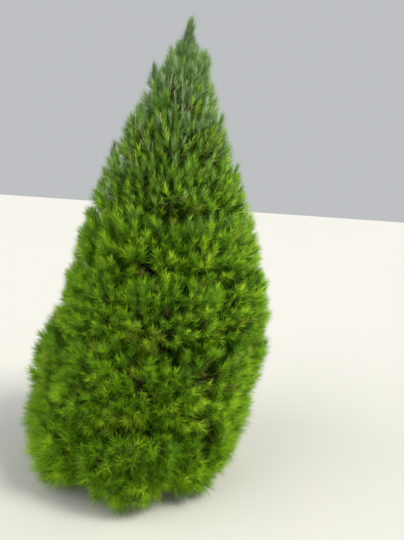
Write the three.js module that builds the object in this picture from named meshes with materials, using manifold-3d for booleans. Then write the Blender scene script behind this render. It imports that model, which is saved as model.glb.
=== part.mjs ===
// A young pine with a dense crown clipped to a cone that reaches nearly to the ground.
// One trunk carries whorls of boughs. Each bough ends in a mass of needles that keeps to its own
// cell of the crown, and the upper masses grow straight from the trunk.
// Millimetres, +Z up. The origin is the middle of the flat cut under the trunk.
import * as THREE from "three";
import { mergeVertices } from "three/addons/utils/BufferGeometryUtils.js";
import Module from "manifold-3d";

const wasm = await Module();
wasm.setup();

// The whole tree.
const TREE_HEIGHT = 2420;
const AXIS = [
  // how far the tree's middle line stands to +X of the foot, from the ground to the tip
  { z: 0, x: 0 },
  { z: 450, x: 45 },
  { z: 1000, x: 142 },
  { z: 1850, x: 148 },
  { z: 2420, x: 195 },
];
const SWEEP = 10; // a slight bow of the trunk along Y

// The trunk.
const TRUNK_HEIGHT = 2235;
const TRUNK_FOOT_RADIUS = 37;
const TRUNK_TIP_RADIUS = 5;
const FLARE = 20;
const FLARE_HEIGHT = 75;
const FLARE_LOBES = 5;
const FLARE_LOBE_DEPTH = 0.16;
const TRUNK_SIDES = 12;
const TRUNK_RINGS = 13;

// The crown's clipped outline.
const CROWN_RADIUS = 640;
const CROWN_WIDEST_HEIGHT = 500;
const CROWN_TOP = 2360;
const CROWN_POWER = 1.65;
const SKIRT_TUCK = 55;
const SKIRT_HEIGHT = 34;

// The tiers, from the lowest: where the foliage's underside meets the trunk, its slope outwards,
// how far it arches up between two masses at the crown's rim, how many boughs the whorl has, which
// way the first one points, and the rows of shoots on a mass. A tier without a bough radius has its
// masses on the trunk itself. The last line is the underside of the leader's own foliage.
const TIERS = [
  { foot: SKIRT_HEIGHT, slope: 0.0, arch: 135, count: 7, turn: -89, rows: 2, columns: 4, boughRadius: 13 },
  { foot: 325, slope: 0.22, arch: 75, count: 6, turn: -112, rows: 2, columns: 4, boughRadius: 12 },
  { foot: 630, slope: 0.38, arch: 75, count: 6, turn: -80, rows: 2, columns: 4, boughRadius: 10.5 },
  { foot: 930, slope: 0.5, arch: 70, count: 6, turn: -108, rows: 2, columns: 3 },
  { foot: 1220, slope: 0.62, arch: 70, count: 5, turn: -90, rows: 2, columns: 3 },
  { foot: 1495, slope: 0.8, arch: 70, count: 4, turn: -120, rows: 2, columns: 3 },
  { foot: 1755, slope: 1.0, arch: 80, count: 3, turn: -75, rows: 2, columns: 3 },
  { foot: 1980, slope: 1.6, arch: 0, count: 0 },
];
const TURN_JITTER = 5; // degrees
const MID_SURFACE = 0.46; // boughs run at this share of a tier's depth

// The boughs and the stems inside the masses.
const BOUGH_TAPER = 0.7;
const STEM_RADIUS = 8;
const STEM_END_RADIUS = 3;
const LIMB_SIDES = 6;
const STEM_SIDES = 5;
const JOINT_GAP = 0.3;
const BOUGH_TIP_CLEARANCE = 12;

// The masses.
const INNER_SHARE = 0.36; // a bough's mass starts at this share of the crown's radius
const BARE_TRUNK_MARGIN = 12; // a mass on the trunk starts this far off the trunk's surface
const CORE_REACH = 0.87;
const CORE_ACROSS = 0.955;
const CORE_FOOT = 0.028; // the core's underside and top, as shares of the tier's depth
const CORE_HEAD = 0.965;
const CORE_HEAD_AT_TOP = 0.83;
const CORE_SQUARENESS = 0.6;
const CORE_ROUGHNESS = 0.08;
const CORE_SIDES = 8;
const CORE_ROWS = 5;
const WALL_CLEARANCE = 5;
const OVERHANG = 32; // the longest needles stand this far out of the crown's mean outline
const LOWEST_NEEDLE = 8;

// The tufts: each is one shoot, a slim core with its longest needles standing out of it.
const TUFT_LENGTH = 205;
const TUFT_LENGTH_AT_TOP = 140;
const TUFT_REACH = 1.06;
const TUFT_RISE = 22; // degrees above the horizon at the skirt
const TUFT_RISE_AT_TOP = 80;
const TUFT_NEEDLES = 4;
const TOP_TUFT_NEEDLES = 3; // in the leader and in whorls of four masses or fewer
const NEEDLE_SPREAD = 0.4;
const TUFT_WAIST = 0.18;
const WAIST_REACH = 0.45;
const BUD_REACH = 0.7;
const SHORT_NEEDLE = 0.8; // every other needle is shorter by this factor
const TUFT_SHRINKS = [1, 0.85, 0.7, 0.55, 0.42];

// Shoots that missed the shears and stand above the outline: which way, how high, how far out.
const STRAY_SHOOTS = [
  { turn: 182, top: 2190, out: 152 },
  { turn: 20, top: 1990, out: 205 },
  { turn: 176, top: 1790, out: 322 },
];
const STRAY_LENGTH = 130;
const STRAY_SPREAD = 0.17;

// The leader.
const LEADER_FOOT = 2075;
const LEADER_STEM_RADIUS = 15;
const LEADER_WHORLS = [
  // the height of the needles' ends, how far they stand out, how many shoots, and their length
  { top: 2192, out: 112, count: 6, length: 125 },
  { top: 2238, out: 82, count: 5, length: 130 },
  { top: 2285, out: 52, count: 4, length: 125 },
];
const LEADER_TIPS = [2310, 2355, 2395, 2420];
const LEADER_SPREAD = 0.23;

const SEED = 12; // which of the possible layouts of the whorls this tree has
const MASS_SEED = 1009; // which of the possible masses grow on them
// Masses grown from seeds further on.
const REGROWN = { "1_1": 60, "1_7": 10, "2_5": 40, "3_6": 10, "6_3": 10 };

const UP = new THREE.Vector3(0, 0, 1);
const BARK = { color: 0x6b5a49, roughness: 0.95, metalness: 0 };
const BOUGH_BARK = { color: 0x7d6a50, roughness: 0.9, metalness: 0 };
const NEEDLE_GREENS = [0x4c7a1e, 0x568522, 0x446f1c, 0x5f8f28];
const TIP_GREEN = 0x5c7f4c;
const needles = (color) => ({ color, roughness: 0.6, metalness: 0 });

// A repeatable run of numbers from 0 to 1.
function seeded(seed) {
  let state = (Math.imul(seed + SEED, 2654435761) + 1013904223) >>> 0;
  return () => {
    state = (Math.imul(state, 1664525) + 1013904223) >>> 0;
    return state / 4294967296;
  };
}

const between = (random, low, high) => low + (high - low) * random();
const mix = THREE.MathUtils.lerp;
const radians = THREE.MathUtils.degToRad;

// How far the axis stands to +X at a height: a smooth curve through its points.
function leanAt(z) {
  const last = AXIS.length - 1;
  const k = Math.max(0, AXIS.findLastIndex((point, index) => index < last && point.z <= z));
  const slopeAt = (index) => {
    const before = AXIS[Math.max(0, index - 1)];
    const after = AXIS[Math.min(last, index + 1)];
    return (after.x - before.x) / (after.z - before.z);
  };
  const span = AXIS[k + 1].z - AXIS[k].z;
  const t = (z - AXIS[k].z) / span;
  const curve = AXIS[k].x * (1 + 2 * t) * (1 - t) ** 2 + AXIS[k + 1].x * t * t * (3 - 2 * t);
  return curve + span * (slopeAt(k) * t * (1 - t) ** 2 - slopeAt(k + 1) * t * t * (1 - t));
}

// The trunk's middle line.
function axisPoint(z) {
  const height = Math.max(0, z);
  return new THREE.Vector3(leanAt(height), SWEEP * Math.sin((Math.PI * height) / TREE_HEIGHT), z);
}

function trunkRadius(z) {
  const taper = mix(TRUNK_FOOT_RADIUS, TRUNK_TIP_RADIUS, Math.min(1, z / TRUNK_HEIGHT) ** 0.9);
  return taper + FLARE * Math.exp((-2.2 * z) / FLARE_HEIGHT);
}

// The crown's outline: widest a little above the ground, tucked in below, and curving in to the top.
function crownRadius(z) {
  if (z < CROWN_WIDEST_HEIGHT) {
    const below = (CROWN_WIDEST_HEIGHT - z) / (CROWN_WIDEST_HEIGHT - SKIRT_HEIGHT);
    return CROWN_RADIUS - SKIRT_TUCK * below ** 2;
  }
  const above = Math.min(1, (z - CROWN_WIDEST_HEIGHT) / (CROWN_TOP - CROWN_WIDEST_HEIGHT));
  return CROWN_RADIUS * (1 - above ** CROWN_POWER);
}

// A level direction.
function outwards(angle) {
  return new THREE.Vector3(Math.cos(angle), Math.sin(angle), 0);
}

// A closed solid whose skin runs round a line of stations. The first and last are single points.
function skin(sides, stations, place) {
  const geometry = new THREE.SphereGeometry(1, sides, stations - 1);
  const position = geometry.getAttribute("position");
  const uv = geometry.getAttribute("uv");
  for (let k = 0; k < position.count; k++) {
    const station = Math.round((1 - uv.getY(k)) * (stations - 1));
    const isEnd = station === 0 || station === stations - 1;
    const side = isEnd ? 0 : Math.round(uv.getX(k) * sides) % sides;
    const point = place(station, side);
    position.setXYZ(k, point.x, point.y, point.z);
  }
  return solidOf(geometry);
}

function solidOf(geometry) {
  geometry.deleteAttribute("normal");
  geometry.deleteAttribute("uv");
  const merged = mergeVertices(geometry, 1e-3);
  return new wasm.Manifold(
    new wasm.Mesh({
      numProp: 3,
      vertProperties: merged.attributes.position.array,
      triVerts: new Uint32Array(merged.index.array),
    }),
  );
}

function geometryOf(solid) {
  const { vertProperties, triVerts } = solid.getMesh();
  const geometry = new THREE.BufferGeometry();
  geometry.setAttribute("position", new THREE.BufferAttribute(vertProperties, 3));
  geometry.setIndex(new THREE.BufferAttribute(triVerts, 1));
  return geometry;
}

function meshOf(name, solid, look) {
  const geometry = geometryOf(solid);
  geometry.computeVertexNormals();
  const mesh = new THREE.Mesh(geometry, new THREE.MeshStandardMaterial(look));
  mesh.name = name;
  return mesh;
}

// Two directions square to a third one, which together go round it.
function frameAcross(along) {
  const helper = Math.abs(along.z) < 0.95 ? UP : new THREE.Vector3(1, 0, 0);
  const first = new THREE.Vector3().crossVectors(along, helper).normalize();
  return [first, new THREE.Vector3().crossVectors(first, along)];
}

// A tapering limb along a line of points, with flat ends.
function limb(points, radii, sides, bulge = () => 1) {
  const tangents = points.map((_, k) =>
    new THREE.Vector3()
      .subVectors(points[Math.min(k + 1, points.length - 1)], points[Math.max(k - 1, 0)])
      .normalize(),
  );
  const frames = tangents.map((tangent) => frameAcross(tangent));
  return skin(sides, points.length + 2, (station, side) => {
    if (station === 0) return points[0];
    if (station === points.length + 1) return points[points.length - 1];
    const k = station - 1;
    const angle = (2 * Math.PI * side) / sides;
    const radius = radii[k] * bulge(k, angle);
    return points[k]
      .clone()
      .addScaledVector(frames[k][0], radius * Math.cos(angle))
      .addScaledVector(frames[k][1], radius * Math.sin(angle));
  });
}

// The trunk, grown by a margin where other pieces are to be cut clear of it.
function trunkSolid(margin) {
  const heights = Array.from({ length: TRUNK_RINGS }, (_, k) => {
    const share = k / (TRUNK_RINGS - 1);
    return TRUNK_HEIGHT * share ** 1.6;
  });
  const points = heights.map((z, k) => {
    const isFoot = k === 0;
    const isTip = k === heights.length - 1;
    return axisPoint(z).addScaledVector(UP, isFoot ? -margin : isTip ? margin : 0);
  });
  const radii = heights.map((z) => trunkRadius(z) + margin);
  const rings = points.map((point, k) =>
    Array.from({ length: TRUNK_SIDES }, (_, side) => {
      const angle = (-2 * Math.PI * side) / TRUNK_SIDES;
      const lobeDepth = FLARE_LOBE_DEPTH * Math.exp((-3 * heights[k]) / FLARE_HEIGHT);
      const lobes = 1 + lobeDepth * Math.cos(FLARE_LOBES * angle);
      return outwards(angle).multiplyScalar(radii[k] * lobes).add(point);
    }),
  );
  return skin(TRUNK_SIDES, TRUNK_RINGS + 2, (station, side) => {
    if (station === 0) return points[0];
    if (station === TRUNK_RINGS + 1) return points[TRUNK_RINGS - 1];
    return rings[station - 1][side];
  });
}

// The same angle between minus and plus half a turn.
function wrapped(angle) {
  const full = 2 * Math.PI;
  return ((((angle + Math.PI) % full) + full) % full) - Math.PI;
}

// The underside of a tier's foliage, at a distance from the trunk's middle line and in a direction.
function tierFloor(tier, rho, angle) {
  const { foot, slope, arch } = TIERS[tier];
  return foot + slope * rho + (arch * acrossAt(tier, angle) ** 2 * rho) / CROWN_RADIUS;
}

// Where a direction falls in the tier's cell there: 0 in the middle and 1 at either side.
function acrossAt(tier, angle) {
  const across = CELLS[tier].map(({ middle, before, after }) => {
    const turned = wrapped(angle - middle);
    return Math.abs(turned) / (turned < 0 ? before : after);
  });
  return Math.min(1, ...across);
}

// The cells of one tier: each has its middle direction and half widths, in radians.
function cellsOf(tier) {
  const { count, turn, boughRadius } = TIERS[tier];
  const random = seeded(100 * (tier + 1));
  const middles = Array.from(
    { length: count },
    (_, k) => radians(turn + (360 * k) / count + between(random, -TURN_JITTER, TURN_JITTER)),
  );
  return middles.map((middle, k) => {
    const next = k + 1 < count ? middles[k + 1] : middles[0] + 2 * Math.PI;
    const last = k > 0 ? middles[k - 1] : middles[count - 1] - 2 * Math.PI;
    const rootHeight = mix(TIERS[tier].foot, TIERS[tier + 1].foot, MID_SURFACE);
    const inner = boughRadius
      ? INNER_SHARE * crownRadius(rootHeight + 150)
      : trunkRadius(rootHeight) + BARE_TRUNK_MARGIN;
    const label = `${tier + 1}_${k + 1}`;
    const seed = 100 * (tier + 1) + k + 1 + MASS_SEED + (REGROWN[label] ?? 0);
    return { tier, label, seed, middle, before: (middle - last) / 2, after: (next - middle) / 2, inner };
  });
}

const CELLS = TIERS.map((_, tier) => (tier + 1 < TIERS.length ? cellsOf(tier) : []));

// How much of the crown's radius a mass reaches: less towards its sides, top and bottom.
function lobeReach(across, up) {
  return 1 - 0.09 * Math.abs(across) ** 3 - 0.05 * Math.abs(2 * up - 1) ** 3;
}

// A point of a cell: across from -1 to 1, out from 0 at its inner face to 1 at the crown's outline,
// and up from 0 to 1 through the tier's depth.
function cellPoint(cell, across, out, up) {
  const angle = cell.middle + across * (across < 0 ? cell.before : cell.after);
  let z = TIERS[cell.tier].foot;
  let rho = 0;
  for (let pass = 0; pass < 40; pass++) {
    rho = mix(cell.inner, crownRadius(z) * lobeReach(across, up), out);
    z = mix(z, mix(tierFloor(cell.tier, rho, angle), tierFloor(cell.tier + 1, rho, angle), up), 0.6);
  }
  return outwards(angle).multiplyScalar(rho).add(axisPoint(z));
}

// A point's distance from the trunk's middle line at its own height, and its direction.
function aroundTrunk(point) {
  const middle = axisPoint(point.z);
  const dx = point.x - middle.x;
  const dy = point.y - middle.y;
  return { rho: Math.hypot(dx, dy), angle: Math.atan2(dy, dx) };
}

// Whether a point keeps to its cell, clear of its walls, of the ground and of the trunk.
function isInCell(cell, point) {
  const { rho, angle } = aroundTrunk(point);
  if (rho > crownRadius(point.z) + OVERHANG || point.z < LOWEST_NEEDLE) return false;
  if (rho < trunkRadius(point.z) + WALL_CLEARANCE) return false;
  const floor = cell.tier === 0 ? LOWEST_NEEDLE : tierFloor(cell.tier, rho, angle) + WALL_CLEARANCE;
  if (point.z < floor || point.z > tierFloor(cell.tier + 1, rho, angle) - WALL_CLEARANCE) return false;
  const turned = wrapped(angle - cell.middle);
  const room = (turned < 0 ? cell.before : cell.after) - Math.abs(turned);
  return room * rho > WALL_CLEARANCE;
}

// A point of the line that a bough and its stem follow, at a distance from the trunk's middle line.
function stemPoint(cell, rho) {
  const above = tierFloor(cell.tier + 1, rho, cell.middle);
  const z = mix(tierFloor(cell.tier, rho, cell.middle), above, MID_SURFACE);
  return outwards(cell.middle).multiplyScalar(rho).add(axisPoint(z));
}

function limbAlong(cell, from, to, startRadius, endRadius, sides, steps) {
  const points = Array.from({ length: steps + 1 }, (_, k) => stemPoint(cell, mix(from, to, k / steps)));
  const radii = points.map((_, k) => mix(startRadius, endRadius, k / steps));
  return limb(points, radii, sides);
}

// The clipped mass's core: a rounded block that fills most of the cell.
function coreSolid(cell) {
  const random = seeded(cell.seed);
  const rough = Array.from({ length: (CORE_ROWS + 1) * CORE_SIDES }, () =>
    between(random, 1 - CORE_ROUGHNESS, 1 + CORE_ROUGHNESS),
  );
  const head = mix(CORE_HEAD, CORE_HEAD_AT_TOP, cell.tier / (TIERS.length - 2));
  const square = (value) => Math.sign(value) * Math.abs(value) ** CORE_SQUARENESS;
  return skin(CORE_SIDES, CORE_ROWS + 1, (station, side) => {
    const down = (Math.PI * station) / CORE_ROWS;
    const round = (2 * Math.PI * side) / CORE_SIDES;
    const sideways = square(Math.sin(down) * Math.cos(round));
    const upwards = square(Math.sin(down) * Math.sin(round));
    const outwards = square(Math.cos(down));
    const reach = CORE_REACH * rough[station * CORE_SIDES + side];
    return cellPoint(
      cell,
      CORE_ACROSS * sideways,
      reach * (0.5 + 0.5 * outwards),
      mix(CORE_FOOT, head, 0.5 + 0.5 * upwards),
    );
  });
}

// One shoot: a slim core from its root to its bud, with needles that stand out round the bud.
function tuft(root, end, along, length, needleCount, spread, twist) {
  const [first, second] = frameAcross(along);
  const base = end.clone().addScaledVector(along, -length);
  const bud = base.clone().addScaledVector(along, length * BUD_REACH);
  const corner = (side) => {
    const isNeedle = side % 2 === 1;
    const angle = twist + (Math.PI * side) / needleCount;
    const size = side % 4 === 1 ? SHORT_NEEDLE : 1;
    const radius = length * (isNeedle ? spread * (2 - size) : TUFT_WAIST);
    return base
      .clone()
      .addScaledVector(along, length * (isNeedle ? size : WAIST_REACH))
      .addScaledVector(first, radius * Math.cos(angle))
      .addScaledVector(second, radius * Math.sin(angle));
  };
  const corners = Array.from({ length: 2 * needleCount }, (_, side) => corner(side));
  const solid = skin(2 * needleCount, 3, (station, side) => [root, corners[side], bud][station]);
  return { solid, points: [...corners, bud] };
}

// A shoot at a place of the cell, made smaller until it keeps to the cell, or null.
function fittedTuft(cell, random, across, up) {
  const tip = cellPoint(cell, across, between(random, 1, TUFT_REACH), up);
  const share = Math.min(1, tip.z / TREE_HEIGHT);
  const rise = radians(mix(TUFT_RISE, TUFT_RISE_AT_TOP, share) + 26 * (up - 0.5) + between(random, -8, 8));
  const middle = axisPoint(tip.z);
  const outward = new THREE.Vector3(tip.x - middle.x, tip.y - middle.y, 0).normalize();
  const along = outward.multiplyScalar(Math.cos(rise)).addScaledVector(UP, Math.sin(rise)).normalize();
  const root = stemPoint(cell, mix(cell.inner, crownRadius(tip.z), 0.5));
  const twist = between(random, 0, Math.PI);
  const full = mix(TUFT_LENGTH, TUFT_LENGTH_AT_TOP, share) * between(random, 0.9, 1.1);
  const needleCount = TIERS[cell.tier].count > 4 ? TUFT_NEEDLES : TOP_TUFT_NEEDLES;
  const made = TUFT_SHRINKS.map((shrink) =>
    tuft(root, tip, along, full * shrink, needleCount, NEEDLE_SPREAD, twist),
  ).find(({ points }) => points.every((point) => isInCell(cell, point)));
  return made ? made.solid : null;
}

// The places of a mass's shoots on its outer face: a jittered grid.
function tuftPlaces(cell, random) {
  const { rows, columns } = TIERS[cell.tier];
  const places = [];
  for (let row = 0; row < rows; row++) {
    const inRow = columns > 3 && row % 2 === 1 ? columns - 1 : columns;
    const shift = inRow < columns ? 0 : 0.14 - 0.28 * (row % 2);
    for (let column = 0; column < inRow; column++) {
      const across = (2 * (column + 0.5 + shift + between(random, -0.14, 0.14))) / inRow - 1;
      const up = (row + 0.5 + between(random, -0.16, 0.16)) / rows;
      places.push({ across: across * 0.88, up: mix(0.06, 0.98, up) });
    }
  }
  return places;
}

// A shoot that stands above the outline, if it belongs to this cell.
function strayTufts(cell) {
  return STRAY_SHOOTS.flatMap(({ turn, top, out }) => {
    const tip = outwards(radians(turn)).multiplyScalar(out).add(axisPoint(top));
    const foot = tip.clone().addScaledVector(UP, -STRAY_LENGTH);
    if (!isInCell(cell, foot)) return [];
    const root = stemPoint(cell, out * 0.6);
    return [tuft(root, tip, UP, STRAY_LENGTH, TUFT_NEEDLES, STRAY_SPREAD, 0.4).solid];
  });
}

function massSolid(cell, trunkClear) {
  const { boughRadius } = TIERS[cell.tier];
  const random = seeded(cell.seed + 500000);
  const stemStart = boughRadius ? cell.inner - BOUGH_TIP_CLEARANCE + JOINT_GAP : 0;
  const stemEnd = mix(cell.inner, crownRadius(stemPoint(cell, cell.inner).z), 0.6);
  const stem = limbAlong(cell, stemStart, stemEnd, STEM_RADIUS, STEM_END_RADIUS, STEM_SIDES, 2);
  let solid = coreSolid(cell).add(stem);
  for (const { across, up } of tuftPlaces(cell, random)) {
    const made = fittedTuft(cell, random, across, up);
    if (made) solid = solid.add(made);
  }
  for (const stray of strayTufts(cell)) solid = solid.add(stray);
  return wholeBody(boughRadius ? solid : solid.subtract(trunkClear));
}

// The one body of a solid, without the specks and pockets that joining and cutting can leave.
function wholeBody(solid) {
  const largest = (made) => made.decompose().sort((a, b) => b.volume() - a.volume())[0];
  return largest(solidOf(geometryOf(largest(solid))));
}

function boughSolid(cell, trunkClear) {
  const { boughRadius } = TIERS[cell.tier];
  const end = cell.inner - BOUGH_TIP_CLEARANCE;
  const made = limbAlong(cell, 0, end, boughRadius, boughRadius * BOUGH_TAPER, LIMB_SIDES, 2);
  return wholeBody(made.subtract(trunkClear));
}

// Whether a point is clear above the masses of the highest tier.
function isOnTop(point) {
  const { rho, angle } = aroundTrunk(point);
  return point.z > tierFloor(TIERS.length - 1, rho, angle) + WALL_CLEARANCE;
}

// The leader: an upright shoot round the trunk's tip and above it, with rising shoots round its foot.
function leaderSolid(trunkClear) {
  const random = seeded(9000);
  const stemAt = (z, offset) => axisPoint(z).add(new THREE.Vector3(offset, 0, 0));
  const stemHeights = [LEADER_FOOT, TRUNK_HEIGHT + 10, LEADER_TIPS[2]];
  const stemRadii = [LEADER_STEM_RADIUS, LEADER_STEM_RADIUS * 0.8, STEM_END_RADIUS];
  const stemPoints = stemHeights.map((z) => axisPoint(z));
  let solid = limb(stemPoints, stemRadii, LIMB_SIDES);
  for (const { top, out, count, length } of LEADER_WHORLS) {
    const turn = between(random, 0, 2 * Math.PI);
    for (let k = 0; k < count; k++) {
      const angle = turn + (2 * Math.PI * k) / count + between(random, -0.2, 0.2);
      const outward = outwards(angle);
      const height = top + between(random, -14, 14);
      const end = outward.clone().multiplyScalar(out * between(random, 0.85, 1.1)).add(axisPoint(height));
      const along = outward.clone().multiplyScalar(0.22).add(UP).normalize();
      const root = stemAt(height - length, k);
      const made = TUFT_SHRINKS.map((shrink) =>
        tuft(root, end, along, length * shrink, TOP_TUFT_NEEDLES, LEADER_SPREAD, k),
      ).find(({ points }) => points.every(isOnTop));
      if (made) solid = solid.add(made.solid);
    }
  }
  LEADER_TIPS.forEach((top, k) => {
    const root = stemAt(top - 110, 1 - k / 2);
    solid = solid.add(tuft(root, axisPoint(top), UP, 105, TUFT_NEEDLES, LEADER_SPREAD, 0.8 * k).solid);
  });
  return wholeBody(solid.subtract(trunkClear));
}

function pineTree() {
  const tree = new THREE.Group();
  const trunkClear = trunkSolid(JOINT_GAP);
  tree.add(meshOf("trunk", trunkSolid(0), BARK));
  for (const cell of CELLS.flat()) {
    const { boughRadius } = TIERS[cell.tier];
    if (boughRadius) tree.add(meshOf(`bough_${cell.label}`, boughSolid(cell, trunkClear), BOUGH_BARK));
    const look = needles(NEEDLE_GREENS[cell.seed % NEEDLE_GREENS.length]);
    tree.add(meshOf(`needles_${cell.label}`, massSolid(cell, trunkClear), look));
  }
  tree.add(meshOf("needles_leader", leaderSolid(trunkClear), needles(TIP_GREEN)));
  return tree;
}

export default pineTree();
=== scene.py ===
# A young clipped pine in its visual finish. Metres, +Z up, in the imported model's frame.
# The masses of needles are grown again here by the source's own rule, out to twigs and needles.
import math
from collections import namedtuple

import bpy
import numpy as np
from mathutils import Matrix


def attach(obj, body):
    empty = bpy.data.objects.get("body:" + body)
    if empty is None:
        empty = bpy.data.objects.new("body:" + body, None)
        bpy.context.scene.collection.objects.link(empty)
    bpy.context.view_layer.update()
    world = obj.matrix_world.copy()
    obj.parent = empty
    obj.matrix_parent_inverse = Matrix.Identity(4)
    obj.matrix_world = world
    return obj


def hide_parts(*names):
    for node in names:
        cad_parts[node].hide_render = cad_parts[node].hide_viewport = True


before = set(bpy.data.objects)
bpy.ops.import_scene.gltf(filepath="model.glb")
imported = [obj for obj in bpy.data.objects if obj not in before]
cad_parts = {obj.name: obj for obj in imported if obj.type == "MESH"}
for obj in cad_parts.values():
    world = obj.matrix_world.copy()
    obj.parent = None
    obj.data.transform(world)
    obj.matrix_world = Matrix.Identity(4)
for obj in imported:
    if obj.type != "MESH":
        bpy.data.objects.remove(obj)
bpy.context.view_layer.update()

# The whole tree, as in the source. The axis is a list of heights and its distance to +X there.
TREE_HEIGHT = 2.420
AXIS = [(0, 0), (0.450, 0.045), (1.000, 0.142), (1.850, 0.148), (2.420, 0.195)]
SWEEP = 0.010

# The trunk, as in the source.
TRUNK_HEIGHT = 2.235
TRUNK_FOOT_RADIUS = 0.037
TRUNK_TIP_RADIUS = 0.005
TRUNK_TAPER_POWER = 0.9
FLARE = 0.020
FLARE_HEIGHT = 0.075
FLARE_FALL = 2.2
FLARE_LOBES = 5
FLARE_LOBE_DEPTH = 0.16
FLARE_LOBE_FALL = 3

# The crown's clipped outline, as in the source.
CROWN_RADIUS = 0.640
CROWN_WIDEST_HEIGHT = 0.500
CROWN_TOP = 2.360
CROWN_POWER = 1.65
SKIRT_TUCK = 0.055
SKIRT_HEIGHT = 0.034

# The tiers, as in the source: underside at the trunk, its slope and arch, how many boughs, the
# first one's direction in degrees, columns of main shoots, and the bough's radius.
TIERS = [
    dict(foot=SKIRT_HEIGHT, slope=0.0, arch=0.135, count=7, turn=-89, columns=4, bough=0.013),
    dict(foot=0.325, slope=0.22, arch=0.075, count=6, turn=-112, columns=4, bough=0.012),
    dict(foot=0.630, slope=0.38, arch=0.075, count=6, turn=-80, columns=4, bough=0.0105),
    dict(foot=0.930, slope=0.5, arch=0.070, count=6, turn=-108, columns=3, bough=0),
    dict(foot=1.220, slope=0.62, arch=0.070, count=5, turn=-90, columns=3, bough=0),
    dict(foot=1.495, slope=0.8, arch=0.070, count=4, turn=-120, columns=3, bough=0),
    dict(foot=1.755, slope=1.0, arch=0.080, count=3, turn=-75, columns=3, bough=0),
    dict(foot=1.980, slope=1.6, arch=0.0, count=0),
]
TIERS_IN_TWO = 3
TURN_JITTER = 5
MID_SURFACE = 0.46
INNER_SHARE = 0.36
INNER_ABOVE_ROOT = 0.150
BARE_TRUNK_MARGIN = 0.012
SIDE_TUCK = 0.09
END_TUCK = 0.05
SEED = 12
MASS_SEED = 1009
REGROWN = {"1_1": 60, "1_7": 10, "2_5": 40, "3_6": 10, "6_3": 10}

# The boughs, and the main shoots of the masses, as in the source.
BOUGH_TAPER = 0.7
BOUGH_TIP_CLEARANCE = 0.012
TUFT_ROWS = 2
TUFT_REACH = 1.06
TUFT_RISE = 22
TUFT_RISE_AT_TOP = 80
TUFT_RISE_SPREAD = 26
TUFT_RISE_JITTER = 8
TUFT_JITTER_ACROSS = 0.14
TUFT_JITTER_UP = 0.16
TUFT_SPAN = 0.88
TUFT_HEIGHTS = (0.06, 0.98)

# Shoots above the outline and the leader, as in the source.
STRAY_SHOOTS = [
    dict(turn=182, top=2.190, out=0.152),
    dict(turn=20, top=1.990, out=0.205),
    dict(turn=176, top=1.790, out=0.322),
]
STRAY_LENGTH = 0.130
LEADER_FOOT = 2.075
LEADER_WHORLS = [
    dict(top=2.192, out=0.112, count=6, length=0.125),
    dict(top=2.238, out=0.082, count=5, length=0.130),
    dict(top=2.285, out=0.052, count=4, length=0.125),
]
LEADER_TIPS = [2.310, 2.355, 2.395, 2.420]

# Dark hollows in the crown's face: direction in degrees, height, half width and depth.
HOLLOWS = [
    (-61, 0.78, 0.075, 0.16),
    (-50, 0.40, 0.060, 0.14),
    (-54, 1.00, 0.050, 0.10),
    (-97, 1.07, 0.055, 0.05),
    (-96, 0.84, 0.045, 0.08),
    (-112, 0.53, 0.050, 0.055),
    (-85, 0.50, 0.045, 0.055),
    (20, 0.65, 0.065, 0.12),
    (75, 1.00, 0.060, 0.11),
    (118, 0.45, 0.070, 0.13),
    (165, 0.85, 0.055, 0.10),
    (-155, 0.60, 0.055, 0.10),
]

# The wood inside a mass. A pair of radii is for the foot and the end. A curved line's bend lies
# back from its end by a share of the way to its start.
STEM_RADII = (0.008, 0.003)
LEADER_STEM_RADII = (0.00825, 0.0022)
LATERAL_RADII = (0.0052, 0.0028)
STRAY_RADII = (0.0045, 0.0022)
STEM_POINTS = 9
STEM_REACH = 0.72
STEM_IN_BOUGH = 0.030
LATERAL_POINTS = 6
LATERAL_BUD_BACK = 0.100
BEND_BACK = 0.45

# Shoots on the crown's face, in rows. Below, a pair of heights is where a change starts and ends,
# and spacings, needle lengths and leans in pairs are for low in the crown and for its top.
UPRIGHT_HEIGHTS = (1.35, 1.85)
SHOOT_SPACINGS = (0.0430, 0.034)
SHOOT_JITTER = 0.38
SHOOT_STAGGER = 0.25
SHOOT_SIZES = (0.75, 1.18)
SHOOT_TILT = 16
SHOOT_TURN = 0.42
SHOOT_RADIUS = 0.0026
SHOOT_TAPER = np.array([1.0, 0.85, 0.6])
BUD_BACK = 0.88

# How far a shoot stands out of the outline: most beside a lateral's tip, and less apart from it.
PROUD = 0.026
LESS_PROUD = 0.036
PROUD_APART = 0.15
PROUD_JITTER = (-0.024, 0.016)
GROOVE_FILL = 0.018

# Where a shoot leaves its lateral: near the end, or further back the further apart they are.
BRANCH_NEAR_END = 0.95
BRANCH_BACK = 0.55
BRANCH_APART = 0.17

# Shoots inside the crown, for each square metre of its face, and more of them higher up.
INNER_PER_AREA = 240
THICKER_HEIGHTS = (0.55, 1.40)
THICKER_AT_TOP = 0.75
INNER_LOOK = dict(count=21, length=0.095, wide=62, narrow=30, flat=True)
INNER_LEAFY_LENGTH = 0.14

# Bare upright shoots among the needles, high in the crown and near a lateral's tip.
CANDLE_LENGTH = 0.095
CANDLE_RADII = (0.0020, 0.0012)
CANDLE_POINTS = 5
CANDLE_HEIGHTS = (1.3, 1.9)
CANDLES_PER_AREA = 90
CANDLE_ROOM = 0.065
CANDLE_TILT = 22
CANDLE_TURN = 0.3
CANDLE_OUT = 0.006
CANDLE_SLIDES = (-0.25, 0.30)
CANDLE_FROM = 0.9

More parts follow.
